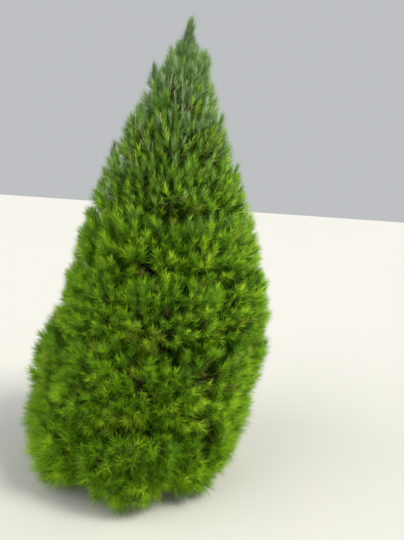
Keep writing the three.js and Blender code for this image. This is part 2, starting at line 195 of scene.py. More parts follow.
# Bundles of needles, and how much of a twig they cover.
FASCICLES = 18
FEWER_AT_TOP = 0.72
NEEDLES_PER_FASCICLE = 3
NEEDLE_LENGTHS = (0.084, 0.060)
NEEDLE_LENGTH_HEIGHTS = (0.2, 0.7)
NEEDLE_WIDTH = 0.0021
INNER_NEEDLE_WIDTH = 0.0044
LEAFY_LENGTH = 0.072
MOST_LEAFY = 0.85
SHORTEST_TWIG = 0.02
LOWEST_NEEDLE = 0.006
GOLDEN_ANGLE = 2.39996

# Needles lean from the twig by a wide angle low on it and a narrow one at its end, in degrees.
SKIRT_LEAN = 50
SKIRT_LEAN_BELOW = 0.9
WIDE_LEANS = (38, 27)
NARROW_LEANS = (19, 9)

# How much bundles differ from each other, and then the needles of one bundle.
BUNDLE_LEAN_SPREAD = 7
BUNDLE_TURN_JITTER = 0.5
BUNDLE_LENGTHS = (0.88, 1.04)
BUNDLE_LEVEL_SPREAD = 0.45
# Painted highlight: bundles are brighter towards the twig's end.
TIP_PAINTED_HIGHLIGHT = 1.6
NEEDLE_LEAN_SPREAD = 0.13
NEEDLE_TURN_SPREAD = 0.34
NEEDLE_LENGTH_CHANGES = (0.92, 1.04)

# A shoot's tint is a family and a level from 0, dark, to 5, bright: the levels are lit and shaded
# copies of one colour, which carry both tone that differs at random and painted light and shade.
GREEN, HALF_GREY, GREY, OLIVE, DRY = range(5)
BRIGHTEST = 5

# The tints' rule. Heights are shares of the tree's. A draw from 0 to 1 settles the odd shoots.
GREY_HEIGHTS = (0.56, 0.92)
GREY_POWER = 2.6
HALF_GREY_SHARE = 1.8
OLIVE_ABOVE = 0.95
DRY_ABOVE = 0.997
INNER_DRY_ABOVE = 0.993
MEAN_LEVEL = 2.85
LEVEL_SPREAD = 0.75
# Painted light on the skirt: low shoots get brighter levels.
SKIRT_PAINTED_LIGHT = 0.55
SKIRT_BELOW = 0.3
TOP_BRIGHTER = 0.1
# Painted light under each tier's bottom rows and painted shade on its top rows.
UNDERSIDE_PAINTED_LIGHT = 0.4
LOWEST_LEVEL = 0.8
HIGHEST_LEVELS = (5.0, 3.4)
# Painted shade inside the crown: inner shoots only get dark levels, with painted light on their
# undersides.
INNER_PAINTED_SHADE_LEVEL = 1.6
INNER_UNDERSIDE_PAINTED_LIGHT = 2.0
INNER_UNDER = 0.3

# The strays and the leader. The outline is a list of heights and the foliage's reach there.
STRAY_ROOM = 0.050
STRAY_START = 0.6
STRAY_BEND_LEVEL = 0.45
STRAY_BUD_BACK = 0.050
STRAY_SIDE_SHOOTS = 3
STRAY_SIDE_SPREAD = 0.014
STRAY_SIDE_DROPS = (0.03, 0.07)
STRAY_LOOK = dict(count=50, length=0.072, leafy=0.5, wide=24, narrow=8, tint=(GREY, 1))
STRAY_SIDE_LOOK = dict(count=26, length=0.070, leafy=0.4, wide=30, narrow=10, tint=(GREY, 2))
LEADER_BUD_BACK = 0.045
WHORL_LOOK = dict(count=30, length=0.070, leafy=0.5, wide=30, narrow=9, radius=0.003)
WHORL_SIDE_LOOK = dict(count=20, length=0.064, leafy=0.5, wide=28, narrow=9)
WHORL_SIDE_TINTS = [(GREY, 3), (HALF_GREY, 2), (GREY, 1), (GREY, 2)]
LEADER_OUTLINE = [
    (2.040, 0.168), (2.150, 0.160), (2.212, 0.145), (2.255, 0.124),
    (2.285, 0.096), (2.310, 0.064), (2.335, 0.034),
]
FILLERS = 150
FILLER_LOOK = dict(count=20, length=0.060, leafy=0.5, wide=30, narrow=9, radius=0.0024)
FILLER_TINTS = [(GREY, 3), (HALF_GREY, 3), (GREY, 1), (HALF_GREY, 1), (GREY, 2), (GREY, 4)]
DARK_FILLERS_FROM = 2.275
DARK_FILLER_TINTS = [(GREY, 0.6), (GREY, 1.8), (GREY, 1.0)]
TIP_LOOK = dict(count=30, length=0.064, leafy=0.75, wide=34, narrow=6, radius=0.003)
TIP_TINTS = [(GREY, 2), (GREY, 0.6), (GREY, 0.6)]

# The needles' materials: name, 8-bit colour and roughness. The dry one's tone varies more.
TONE_CHANGE = 0.14
NEEDLE_LOOKS = [
    ("darkest", (48, 84, 2), 0.56),
    ("dark", (66, 108, 2), 0.54),
    ("deep", (86, 132, 3), 0.52),
    ("mid", (108, 156, 4), 0.50),
    ("light", (133, 177, 10), 0.48),
    ("bright", (170, 208, 34), 0.46),
    ("half_grey_dark", (64, 98, 22), 0.54),
    ("half_grey_mid", (94, 136, 34), 0.52),
    ("half_grey_light", (138, 178, 60), 0.50),
    ("grey_dark", (76, 106, 54), 0.54),
    ("grey_mid", (106, 138, 80), 0.52),
    ("grey_light", (152, 180, 120), 0.50),
    ("olive", (130, 154, 34), 0.52),
    ("dry", (104, 102, 42), 0.65, 0.18),
]
# Each family's materials at levels 0 to 5, by their places in the list above.
FAMILY_MATERIALS = np.array([
    [0, 1, 2, 3, 4, 5],
    [6, 6, 7, 7, 8, 8],
    [9, 9, 10, 10, 11, 11],
    [12] * 6,
    [13] * 6,
])

# The bark's mesh: the trunk's relief is a list of heights and depths.
TRUNK_SIDES = 60
TRUNK_RINGS = 250
TRUNK_RING_POWER = 1.25
TRUNK_PLATES = (17, 90)
TRUNK_RELIEF = [(0, 0.0026), (0.6, 0.0020), (TRUNK_HEIGHT, 0.0004)]
TRUNK_RELIEF_SHARE = 0.7
TRUNK_SKIN = 0.0006
BOUGH_SIDES = 16
BOUGH_RINGS = 26
BOUGH_PLATES = (5, 16)
BOUGH_RELIEF = 0.07
COLLAR_SWELL = 0.3
COLLAR_PLACE = 0.035
COLLAR_WIDTH = 0.022

# The floor, the light and the camera. Each sun has the way it shines, and its breadth in degrees.
FLOOR_HALF = 40.0
FLOOR_COLOR = (0.62, 0.61, 0.585, 1)
SKY_COLOR = (0.95, 0.98, 1.0, 1)
SKY_STRENGTH = 0.54
SUNS = [
    dict(name="key", toward=(-1.15, 0.55, -1.75), breadth=20, strength=2.42, color=(1.0, 0.98, 0.88)),
    dict(name="fill", toward=(1.4, 0.7, -1.1), breadth=60, strength=1.40, color=(1.0, 1.0, 0.94)),
    dict(name="side", toward=(-1.6, -0.35, -0.9), breadth=40, strength=0.8, color=(1.0, 0.97, 0.84)),
]
CAMERA_PLACE = (0.336, -2.543, 1.55)
CAMERA_DOWN = math.radians(9.52)
CAMERA_ROLL = math.radians(4.0)
CAMERA_LENS = 31.33
CAMERA_SENSOR = 36


def mix(low, high, share):
    return low + (high - low) * share


def share_of(value, low, high):
    """0 up to a low value, 1 from a high one, and in proportion between them."""
    return min(1.0, max(0.0, (value - low) / (high - low)))


def seeded(seed):
    """The source's repeatable run of numbers from 0 to 1."""
    state = ((seed + SEED) * 2654435761 + 1013904223) & 0xFFFFFFFF

    def draw():
        nonlocal state
        state = (state * 1664525 + 1013904223) & 0xFFFFFFFF
        return state / 4294967296

    return draw


def between(random, low, high):
    return low + (high - low) * random()


def bezier(start, bend, end, t):
    return start * (1 - t) ** 2 + bend * (2 * t * (1 - t)) + end * t**2


def curve_to(start, end, along):
    """A curved line, as its start, bend and end, that reaches its end along a direction."""
    return start, end - along * BEND_BACK * np.linalg.norm(end - start), end


def wrapped(angle):
    return (angle + math.pi) % (2 * math.pi) - math.pi


def outwards(angle):
    return np.array([math.cos(angle), math.sin(angle), 0.0])


def upwards(height):
    return np.array([0.0, 0.0, height])


def turned_about_z(vector, angle):
    c, s = math.cos(angle), math.sin(angle)
    return np.array([c * vector[0] - s * vector[1], s * vector[0] + c * vector[1], vector[2]])


# The source's rule for the trunk, the crown and its cells.
def lean_at(z):
    """How far the axis stands to +X at a height: a smooth curve through its points."""
    k = 0
    while k < len(AXIS) - 2 and z > AXIS[k + 1][0]:
        k += 1

    def tangent(k):
        before, after = AXIS[max(0, k - 1)], AXIS[min(len(AXIS) - 1, k + 1)]
        return (after[1] - before[1]) / (after[0] - before[0])

    (low, start), (high, end) = AXIS[k], AXIS[k + 1]
    span = high - low
    t = (z - low) / span
    curve = start * (1 + 2 * t) * (1 - t) ** 2 + end * t * t * (3 - 2 * t)
    return curve + span * (tangent(k) * t * (1 - t) ** 2 - tangent(k + 1) * t * t * (1 - t))


def axis_point(z):
    height = max(0.0, z)
    return np.array([lean_at(height), SWEEP * math.sin(math.pi * height / TREE_HEIGHT), z])


def trunk_radius(z):
    taper = min(1.0, max(0.0, z) / TRUNK_HEIGHT) ** TRUNK_TAPER_POWER
    flare = FLARE * math.exp(-FLARE_FALL * z / FLARE_HEIGHT)
    return mix(TRUNK_FOOT_RADIUS, TRUNK_TIP_RADIUS, taper) + flare


def crown_radius(z):
    if z < CROWN_WIDEST_HEIGHT:
        below = (CROWN_WIDEST_HEIGHT - z) / (CROWN_WIDEST_HEIGHT - SKIRT_HEIGHT)
        return CROWN_RADIUS - SKIRT_TUCK * below**2
    above = min(1.0, (z - CROWN_WIDEST_HEIGHT) / (CROWN_TOP - CROWN_WIDEST_HEIGHT))
    return CROWN_RADIUS * (1 - above**CROWN_POWER)


def cells_of(tier):
    """The cells of one tier: each has its middle direction and half widths, in radians."""
    rule = TIERS[tier]
    count = rule["count"]
    random = seeded(100 * (tier + 1))
    middles = [
        math.radians(rule["turn"] + 360 * k / count + between(random, -TURN_JITTER, TURN_JITTER))
        for k in range(count)
    ]
    root_height = mix(rule["foot"], TIERS[tier + 1]["foot"], MID_SURFACE)
    if rule["bough"]:
        inner = INNER_SHARE * crown_radius(root_height + INNER_ABOVE_ROOT)
    else:
        inner = trunk_radius(root_height) + BARE_TRUNK_MARGIN
    cells = []
    for k, middle in enumerate(middles):
        after = middles[k + 1] if k + 1 < count else middles[0] + 2 * math.pi
        last = middles[k - 1] if k > 0 else middles[count - 1] - 2 * math.pi
        label = f"{tier + 1}_{k + 1}"
        cell = dict(
            tier=tier,
            label=label,
            seed=100 * (tier + 1) + k + 1 + MASS_SEED + REGROWN.get(label, 0),
            middle=middle,
            before=(middle - last) / 2,
            after=(after - middle) / 2,
            inner=inner,
        )
        cells.append(cell)
    return cells


CELLS = [cells_of(tier) for tier in range(len(TIERS) - 1)] + [[]]
ALL_CELLS = sum(CELLS, [])


def floor_gradient(tier, angle):
    """How fast the tier's underside rises with the distance from the trunk, in one direction."""
    across = 1.0
    for cell in CELLS[tier]:
        turned = wrapped(angle - cell["middle"])
        across = min(across, abs(turned) / (cell["before"] if turned < 0 else cell["after"]))
    return TIERS[tier]["slope"] + TIERS[tier]["arch"] * across**2 / CROWN_RADIUS


def tier_floor(tier, distance, angle):
    return TIERS[tier]["foot"] + floor_gradient(tier, angle) * distance


def cell_point(cell, across, out, up):
    """A point of a cell: across -1 to 1, out 0 to 1 at the crown's outline, up 0 to 1."""
    tier = cell["tier"]
    angle = cell["middle"] + across * (cell["before"] if across < 0 else cell["after"])
    low = floor_gradient(tier, angle)
    high = floor_gradient(tier + 1, angle)
    lobe = 1 - SIDE_TUCK * abs(across) ** 3 - END_TUCK * abs(2 * up - 1) ** 3
    z = TIERS[tier]["foot"]
    for _ in range(40):
        distance = mix(cell["inner"], crown_radius(z) * lobe, out)
        floor = TIERS[tier]["foot"] + low * distance
        head = TIERS[tier + 1]["foot"] + high * distance
        z = mix(z, mix(floor, head, up), 0.6)
    return outwards(angle) * distance + axis_point(z)


def stem_point(cell, distance):
    """A point of a cell's stem or bough, at a distance from the trunk's middle line."""
    floor = tier_floor(cell["tier"], distance, cell["middle"])
    head = tier_floor(cell["tier"] + 1, distance, cell["middle"])
    return outwards(cell["middle"]) * distance + axis_point(mix(floor, head, MID_SURFACE))


def around_axis(point):
    """A point's direction from the axis, as an angle, and its distance."""
    across, back = point[:2] - axis_point(point[2])[:2]
    return math.atan2(back, across), math.hypot(across, back)


def outward_at(point):
    flat = point - axis_point(point[2])
    return flat / max(1e-6, np.linalg.norm(flat))


def cell_at(point):
    """The cell that a point of the crown is in."""
    angle, distance = around_axis(point)
    for cell in ALL_CELLS:
        turned = wrapped(angle - cell["middle"])
        low, high = (tier_floor(tier, distance, angle) for tier in (cell["tier"], cell["tier"] + 1))
        if -cell["before"] <= turned <= cell["after"] and low <= point[2] <= high:
            return cell
    return None


def tuft_places(cell, random):
    """The places of the source's own shoots on a mass."""
    columns = TIERS[cell["tier"]]["columns"]
    places = []
    for row in range(TUFT_ROWS):
        in_row = columns - 1 if columns > 3 and row % 2 == 1 else columns
        shift = 0 if in_row < columns else TUFT_JITTER_ACROSS * (1 - 2 * (row % 2))
        for column in range(in_row):
            moved = shift + between(random, -TUFT_JITTER_ACROSS, TUFT_JITTER_ACROSS)
            across = 2 * (column + 0.5 + moved) / in_row - 1
            up = (row + 0.5 + between(random, -TUFT_JITTER_UP, TUFT_JITTER_UP)) / TUFT_ROWS
            places.append((across * TUFT_SPAN, mix(*TUFT_HEIGHTS, up)))
    return places


def upright_at(z):
    """From 0 low in the crown to 1 at its top, where the shoots are slim and stand up."""
    return share_of(z, *UPRIGHT_HEIGHTS)


def direction_at(point, up, rise_jitter, turn_jitter):
    """The way that a shoot points: outwards, rising more towards the tree's and the tier's top."""
    rise = mix(TUFT_RISE, TUFT_RISE_AT_TOP, min(1.0, point[2] / TREE_HEIGHT))
    rise = math.radians(rise + TUFT_RISE_SPREAD * (up - 0.5) + rise_jitter)
    return turned_about_z(outward_at(point), turn_jitter) * math.cos(rise) + upwards(math.sin(rise))


def laterals_of(cell):
    """The line and the tip of each limb inside a mass, one to each of the source's own shoots."""
    random = seeded(cell["seed"] + 500000)
    laterals = []
    for k, (across, up) in enumerate(tuft_places(cell, random)):
        tip = cell_point(cell, across, between(random, 1, TUFT_REACH), up)
        along = direction_at(tip, up, between(random, -TUFT_RISE_JITTER, TUFT_RISE_JITTER), 0)
        # The source draws two more numbers for each of its shoots.
        random()
        random()
        start_share = 0.22 + 0.5 * ((k * 0.618) % 1)
        start = stem_point(cell, mix(cell["inner"], crown_radius(tip[2]), start_share))
        laterals.append((curve_to(start, tip - along * LATERAL_BUD_BACK, along), tip))
    return laterals


def beside_stray(point):
    """Whether a point is so near to a stray shoot that the stray would not stand apart."""
    for stray in STRAY_SHOOTS:
        place = outwards(math.radians(stray["turn"])) * stray["out"] + axis_point(point[2])
        if math.dist(place, point) < STRAY_ROOM and point[2] > stray["top"] - STRAY_LENGTH:
            return True
    return False


def hollow_at(point):
    """How deep the crown's face is sunk at a point."""
    angle, distance = around_axis(point)
    sunk = 0.0
    for turn, height, size, depth in HOLLOWS:
        sideways = wrapped(angle - math.radians(turn)) * distance
        apart = math.hypot(sideways, point[2] - height) / size
        sunk = max(sunk, depth * max(0.0, 1 - apart**3))
    return sunk


# The tints: greener low down, and grey-green towards the top. Brighter low down is painted light on the
# skirt. In each tier the undersides are painted brighter, painted light where less light reaches them,
# and the top rows are painted darker, painted shade that tones down the light they catch from above.
def inner_tint(z, up, rng):
    draw = rng.random()
    if draw > INNER_DRY_ABOVE:
        return DRY, 0
    family = HALF_GREY if draw < share_of(z / TREE_HEIGHT, *GREY_HEIGHTS) else GREEN
    # Painted shade: inner shoots get dark levels, and painted light brightens them towards the tier's
    # underside.
    under = INNER_UNDERSIDE_PAINTED_LIGHT * max(0.0, 1 - up / INNER_UNDER)
    return family, rng.uniform(0.0, INNER_PAINTED_SHADE_LEVEL) + under


def outer_tint(z, up, rng):
    draw = rng.random()
    if draw > OLIVE_ABOVE:
        return DRY if draw > DRY_ABOVE else OLIVE, 0
    top = share_of(z / TREE_HEIGHT, *GREY_HEIGHTS)
    # Painted light: the skirt's shoots are painted brighter, as if the skirt were sunlit.
    skirt = SKIRT_PAINTED_LIGHT * max(0.0, 1 - z / TREE_HEIGHT / SKIRT_BELOW)
    level = rng.normal(MEAN_LEVEL + skirt + TOP_BRIGHTER * top, LEVEL_SPREAD)
    # Painted light and shade by row: brighter on the tier's bottom rows, darker on its top rows.
    level += UNDERSIDE_PAINTED_LIGHT * (1 - 2 * up)
    family = GREY if draw < top**GREY_POWER else HALF_GREY if draw < HALF_GREY_SHARE * top else GREEN
    return family, min(mix(*HIGHEST_LEVELS, top), max(LOWEST_LEVEL, level))


# A twig along a curved line. Bundles of needles cover the last share of it, its leafy one.
Shoot = namedtuple(
    "Shoot", "line count length leafy wide narrow tint radius flat", defaults=(SHOOT_RADIUS, False)
)


class Growth:
    """What grows in one piece of the crown: its shoots and its other wood, as lists of lines."""

    def __init__(self):
        self.shoots, self.stems, self.leader = [], [], []
        self.laterals, self.strays, self.candles = [], [], []


def crowded_at_ends(share):
    """A share from -1 to 1, moved so that more shares come near the ends."""
    return share * (1.15 - 0.15 * share * share)


def leafy_share(line, leafy_length):
    return min(MOST_LEAFY, leafy_length / max(math.dist(line[0], line[2]), SHORTEST_TWIG))


class Mass:
    """One cell's mass of needles while it grows."""

    def __init__(self, cell, growth, rng):
        self.cell, self.growth, self.rng = cell, growth, rng
        self.tier = cell["tier"]
        self.middle_height = mix(TIERS[self.tier]["foot"], TIERS[self.tier + 1]["foot"], 0.5)
        self.low = cell_point(cell, 0, 1, 0)
        self.face_height = math.dist(self.low, cell_point(cell, 0, 1, 1))
        self.width = cell["before"] + cell["after"]
        self.laterals, tips = zip(*laterals_of(cell))
        self.tips = np.array(tips)

    def grow(self):
        self.growth.laterals.extend(self.laterals)
        self.grow_stem()
        self.grow_face()
        self.grow_candles()
        self.grow_inside()

    def nearest(self, point):
        """The lateral whose tip is nearest to a point, and how far apart they are."""
        gaps = np.linalg.norm(self.tips - point, axis=1)
        nearest = int(np.argmin(gaps))
        return self.laterals[nearest], float(gaps[nearest])

    def face_area(self, height):
        """The area of the mass's face, by the crown's radius at a height."""
        return self.width * crown_radius(height) * self.face_height

    def hang(self, tip, up, bud_back, inside=False):
        """A shoot's tip, and its line from the nearest lateral."""
        rng = self.rng
        lateral, gap = self.nearest(tip)
        proud = PROUD - LESS_PROUD * min(1.0, gap / PROUD_APART) ** 2 + rng.uniform(*PROUD_JITTER)
        if self.tier > 0 or up > 0.5:
            proud += GROOVE_FILL * abs(2 * up - 1) ** 3
        tilt = SHOOT_TILT * (1 - 0.5 * upright_at(tip[2]))
        along = direction_at(tip, up, rng.uniform(-tilt, tilt), rng.uniform(-SHOOT_TURN, SHOOT_TURN))
        if not inside:
            tip = tip + outward_at(tip) * (proud - hollow_at(tip))
        start = bezier(*lateral, BRANCH_NEAR_END - BRANCH_BACK * min(1.0, gap / BRANCH_APART))
        return tip, curve_to(start, tip - along * bud_back, along)

    def grow_stem(self):
        inner = self.cell["inner"]
        first = inner - STEM_IN_BOUGH if TIERS[self.tier]["bough"] else 0.0
        last = mix(inner, crown_radius(stem_point(self.cell, inner)[2]), STEM_REACH)
        distances = np.linspace(first, last, STEM_POINTS)
        self.growth.stems.append([stem_point(self.cell, distance) for distance in distances])

    def grow_face(self):
        """Rows of shoots over the mass's face."""
        rng = self.rng
        spacing = mix(*SHOOT_SPACINGS, upright_at(self.middle_height))
        length = mix(*NEEDLE_LENGTHS, share_of(self.middle_height, *NEEDLE_LENGTH_HEIGHTS))
        rows = max(2, round(self.face_height / spacing))
        for row in range(rows):
            up = (row + 0.5) / rows
            _, distance = around_axis(cell_point(self.cell, 0, 1, up))
            columns = max(1, round(self.width * distance / spacing))
            stagger = SHOOT_STAGGER * (row % 2 * 2 - 1)
            for column in range(columns):
                sideways, upward = rng.uniform(-SHOOT_JITTER, SHOOT_JITTER, 2)
                across = 2 * (column + 0.5 + stagger + sideways) / columns - 1
                across = max(-0.99, min(0.99, across))
                height = max(0.02, min(0.98, up + upward / rows))
                tip = cell_point(self.cell, across, 1.0, height)
                self.add_face_shoot(tip, height, length, rng.uniform(*SHOOT_SIZES))

    def add_face_shoot(self, tip, up, length, size):
        tip, line = self.hang(tip, up, length * BUD_BACK)
        if beside_stray(tip):
            return
        upright = upright_at(tip[2])
        wide = mix(SKIRT_LEAN, WIDE_LEANS[0], min(1.0, tip[2] / SKIRT_LEAN_BELOW))
        shoot = Shoot(
            line,
            count=int(FASCICLES * size * mix(1, FEWER_AT_TOP, upright)),
            length=length * size,
            leafy=leafy_share(line, LEAFY_LENGTH),
            wide=mix(wide, WIDE_LEANS[1], upright),
            narrow=mix(*NARROW_LEANS, upright),
            tint=outer_tint(tip[2], up, self.rng),
        )
        self.growth.shoots.append(shoot)

    def grow_candles(self):
        """Bare shoots that stand up among the needles."""
        rng = self.rng
        common = share_of(self.middle_height, *CANDLE_HEIGHTS)
        for _ in range(round(self.face_area(self.middle_height) * CANDLES_PER_AREA * common)):
            across, up = rng.uniform(-0.9, 0.9), rng.uniform(0.1, 0.9)
            tip = cell_point(self.cell, across, 1.0, up)
            lateral, gap = self.nearest(tip)
            if gap > CANDLE_ROOM:
                continue
            tilt = rng.uniform(0, CANDLE_TILT)
            along = direction_at(tip, up, tilt, rng.uniform(-CANDLE_TURN, CANDLE_TURN))
            face = tip + outward_at(tip) * CANDLE_OUT
            end = face + along * rng.uniform(*CANDLE_SLIDES) * CANDLE_LENGTH
            start = bezier(*lateral, CANDLE_FROM)
            self.growth.candles.append((start, end - along * CANDLE_LENGTH, end))

    def grow_inside(self):
        """Shoots with flat needles that fill the mass behind its face."""
        rng = self.rng
        thicker = 1 + THICKER_AT_TOP * share_of(self.middle_height, *THICKER_HEIGHTS)
        for _ in range(round(self.face_area(self.low[2]) * INNER_PER_AREA * thicker)):
            sideways, upward = (crowded_at_ends(share) for share in rng.uniform(-1, 1, 2))
            across, up = 0.98 * sideways, 0.5 + 0.48 * upward
            tip = cell_point(self.cell, across, 1 - rng.random() ** 1.5, up)
            tip, line = self.hang(tip, up, INNER_LOOK["length"], inside=True)
            leafy = leafy_share(line, INNER_LEAFY_LENGTH)
            tint = inner_tint(tip[2], up, rng)
            self.growth.shoots.append(Shoot(line, leafy=leafy, tint=tint, **INNER_LOOK))


def grow_strays(growth, tier, rng):
    """The upright shoots above the outline, each on the cell that the source gives it to."""
    for stray in STRAY_SHOOTS:
        tip = outwards(math.radians(stray["turn"])) * stray["out"] + axis_point(stray["top"])
        home = cell_at(tip - upwards(STRAY_LENGTH))
        if home is None or home["tier"] != tier:
            continue
        start = stem_point(home, stray["out"] * STRAY_START)
        end = tip - upwards(STRAY_BUD_BACK)
        bend = np.array([end[0], end[1], mix(start[2], end[2], STRAY_BEND_LEVEL)])
        growth.strays.append((start, bend, end))
        growth.shoots.append(Shoot((start, bend, end), **STRAY_LOOK))
        for _ in range(STRAY_SIDE_SHOOTS):
            side = rng.uniform(-STRAY_SIDE_SPREAD, STRAY_SIDE_SPREAD, 3)
            lower = end + side - upwards(rng.uniform(*STRAY_SIDE_DROPS))
            growth.shoots.append(Shoot((start, bend + side, lower), **STRAY_SIDE_LOOK))


# The leader.
def rising(outward, lean):
    """A direction that leans outwards from straight up."""
    along = outward * lean + upwards(1.0)
    return along / np.linalg.norm(along)


def grow_whorls(growth, rng):
    """The source's whorls of rising shoots, each with four smaller shoots round it."""
    random = seeded(9000)
    for whorl in LEADER_WHORLS:
        turn = between(random, 0, 2 * math.pi)
        for k in range(whorl["count"]):
            outward = outwards(turn + 2 * math.pi * k / whorl["count"] + between(random, -0.2, 0.2))
            height = whorl["top"] + between(random, -0.014, 0.014)
            tip = outward * whorl["out"] * between(random, 0.85, 1.1) + axis_point(height)
            along = rising(outward, 0.22)
            start = axis_point(height - whorl["length"] - 0.02)
            end = tip - along * 0.068
            line = (start, end - along * 0.05, end)
            growth.shoots.append(Shoot(line, tint=(GREY, 1.5 + k % 3), **WHORL_LOOK))
            for side in range(4):
                around = turned_about_z(outward, math.pi * (0.5 * side + rng.uniform(-0.15, 0.15)))
                lower = end + around * rng.uniform(0.014, 0.026) - along * rng.uniform(0.0, 0.045)
                line = (start, lower - along * 0.04, lower)
                tint = WHORL_SIDE_TINTS[(k + side) % 4]
                growth.shoots.append(Shoot(line, tint=tint, **WHORL_SIDE_LOOK))


def grow_fillers(growth, rng):
    """Shoots in a spiral that fill the leader's outline, darker near its top."""
    heights, reaches = zip(*LEADER_OUTLINE)
    for k in range(FILLERS):
        height = mix(heights[0], heights[-1], (k + 0.5) / FILLERS) + rng.uniform(-0.010, 0.014)
        out = float(np.interp(height, heights, reaches)) * rng.uniform(0.82, 1.06)
        outward = outwards(k * GOLDEN_ANGLE)
        tip = outward * out + axis_point(height)
        if beside_stray(tip):
            continue
        along = rising(outward, 0.30)
        start = axis_point(height - 0.17) + outward * 0.25 * out
        end = tip - along * 0.058
        tint = DARK_FILLER_TINTS[k % 3] if height > DARK_FILLERS_FROM else FILLER_TINTS[k % 6]
        growth.shoots.append(Shoot((start, end - along * 0.06, end), tint=tint, **FILLER_LOOK))


def grow_tips(growth):
    """The leader's upright tips, each of three shoots one above the other."""
    for k, top in enumerate(LEADER_TIPS):
        side = outwards(2.1 * k) * (0.020 * (4 - k) / 4 + 0.003)
        start = axis_point(top - 0.20)
        for ring, tint in enumerate(TIP_TINTS):
            end = axis_point(top - 0.036 - 0.014 * ring) + turned_about_z(side, 2.1 * ring)
            growth.shoots.append(Shoot((start, (start + end) / 2, end), tint=tint, **TIP_LOOK))


def grow_leader(growth, rng):
    heights = np.linspace(LEADER_FOOT, LEADER_TIPS[-1] - LEADER_BUD_BACK, STEM_POINTS)
    growth.leader.append([axis_point(z) for z in heights])
    grow_whorls(growth, rng)
    grow_fillers(growth, rng)
    grow_tips(growth)


# Meshes from arrays of corners, triangles and material numbers.
def frames_across(along):
    """Two directions square to each of many directions."""
    helper = np.where(np.abs(along[:, 2:3]) < 0.95, [[0.0, 0.0, 1.0]], [[1.0, 0.0, 0.0]])
    first = np.cross(along, helper)
    first /= np.linalg.norm(first, axis=1, keepdims=True)
    return first, np.cross(first, along)


def array_of(shoots, name):
    """One value of many shoots, as an array."""
    return np.array([getattr(shoot, name) for shoot in shoots])


def needle_mesh_data(shoots, rng):
    """Corners, triangles and material numbers of every needle on a piece's shoots."""
    # Each bundle's root on its twig, and the way it points.
    count = array_of(shoots, "count")
    of = np.repeat(np.arange(len(count)), count)
    total = len(of)
    order = np.arange(total) - np.repeat(np.cumsum(count) - count, count)
    share = ((order + rng.uniform(0.1, 0.9, total)) / count[of]) ** 0.8
    start, bend, end = np.moveaxis(array_of(shoots, "line")[of], 1, 0)
    leafy = array_of(shoots, "leafy")[of]
    t = (1 - leafy + leafy * share)[:, None]
    root = bezier(start, bend, end, t)
    along = (bend - start) * (1 - t) + (end - bend) * t
    along /= np.maximum(1e-9, np.linalg.norm(along, axis=1, keepdims=True))
    first, second = frames_across(along)
    lean = mix(array_of(shoots, "wide")[of], array_of(shoots, "narrow")[of], share**1.5)
    lean = np.radians(lean + rng.normal(0, BUNDLE_LEAN_SPREAD, total))
    turn = order * GOLDEN_ANGLE + rng.uniform(-BUNDLE_TURN_JITTER, BUNDLE_TURN_JITTER, total)
    length = array_of(shoots, "length")[of] * (1.06 - 0.22 * share**3)
    length *= rng.uniform(*BUNDLE_LENGTHS, total)

    # The needles of each bundle, a little apart, and none of them below the ground.
    each = NEEDLES_PER_FASCICLE
    needles = total * each
    lean = np.repeat(lean, each) + rng.normal(0, NEEDLE_LEAN_SPREAD, needles)
    turn = np.repeat(turn, each) + rng.normal(0, NEEDLE_TURN_SPREAD, needles)
    along, first, second, root = (np.repeat(v, each, axis=0) for v in (along, first, second, root))
    length = np.repeat(length, each) * rng.uniform(*NEEDLE_LENGTH_CHANGES, needles)
    sideways = first * np.cos(turn)[:, None] + second * np.sin(turn)[:, None]
    needle = along * np.cos(lean)[:, None] + sideways * np.sin(lean)[:, None]
    tip = root + needle * length[:, None]
    tip[:, 2] = np.maximum(tip[:, 2], LOWEST_NEEDLE + 0.02 * rng.random(needles))
    root[:, 2] = np.maximum(root[:, 2], LOWEST_NEEDLE + 0.004)
    across, over = frames_across(needle / np.linalg.norm(needle, axis=1, keepdims=True))
    spin = rng.uniform(0, 2 * np.pi, needles)[:, None]

    # The bundles' materials: brighter towards the twig's end, a painted highlight on the tufts' ends.
    family, level = array_of(shoots, "tint")[of].T
    level = level + TIP_PAINTED_HIGHLIGHT * (share - 0.55) + rng.normal(0, BUNDLE_LEVEL_SPREAD, total)
    level = np.round(np.clip(level, 0, BRIGHTEST)).astype(int)
    material = np.repeat(FAMILY_MATERIALS[family.astype(int), level], each)
    flat = np.repeat(array_of(shoots, "flat")[of], each)
    parts = []
    for shape, chosen in ((spikes, ~flat), (blades, flat)):
        corners, faces = shape(root[chosen], tip[chosen], across[chosen], over[chosen], spin[chosen])
        parts.append((corners, faces.reshape(-1, 3), np.repeat(material[chosen], faces.shape[1])))
    return joined(parts)


def needle_faces(count, pattern):
    """The same few triangles for each of many needles of four corners."""
    return np.arange(count)[:, None, None] * 4 + np.array(pattern)


def spikes(root, tip, across, over, spin):
    """Needles of three faces that meet at the tip."""
    corners = np.empty((len(tip), 4, 3))
    foot_radius = 0.577 * NEEDLE_WIDTH
    for k in range(3):
        angle = spin + 2 * np.pi * k / 3
        corners[:, k] = root + foot_radius * (across * np.cos(angle) + over * np.sin(angle))
    corners[:, 3] = tip
    return corners.reshape(-1, 3), needle_faces(len(tip), [[0, 1, 3], [1, 2, 3], [2, 0, 3]])


def blades(root, tip, across, over, spin):
    """Needles inside the crown: two faces folded along the needle, broadest a third of the way."""
    side = across * np.cos(spin) + over * np.sin(spin)
    lift = over * np.cos(spin) - across * np.sin(spin)
    middle = root * 0.65 + tip * 0.35 + lift * 0.25 * INNER_NEEDLE_WIDTH
    half = side * 0.5 * INNER_NEEDLE_WIDTH
    corners = np.stack([root, middle + half, tip, middle - half], axis=1)
    return corners.reshape(-1, 3), needle_faces(len(tip), [[0, 1, 2], [0, 2, 3]])


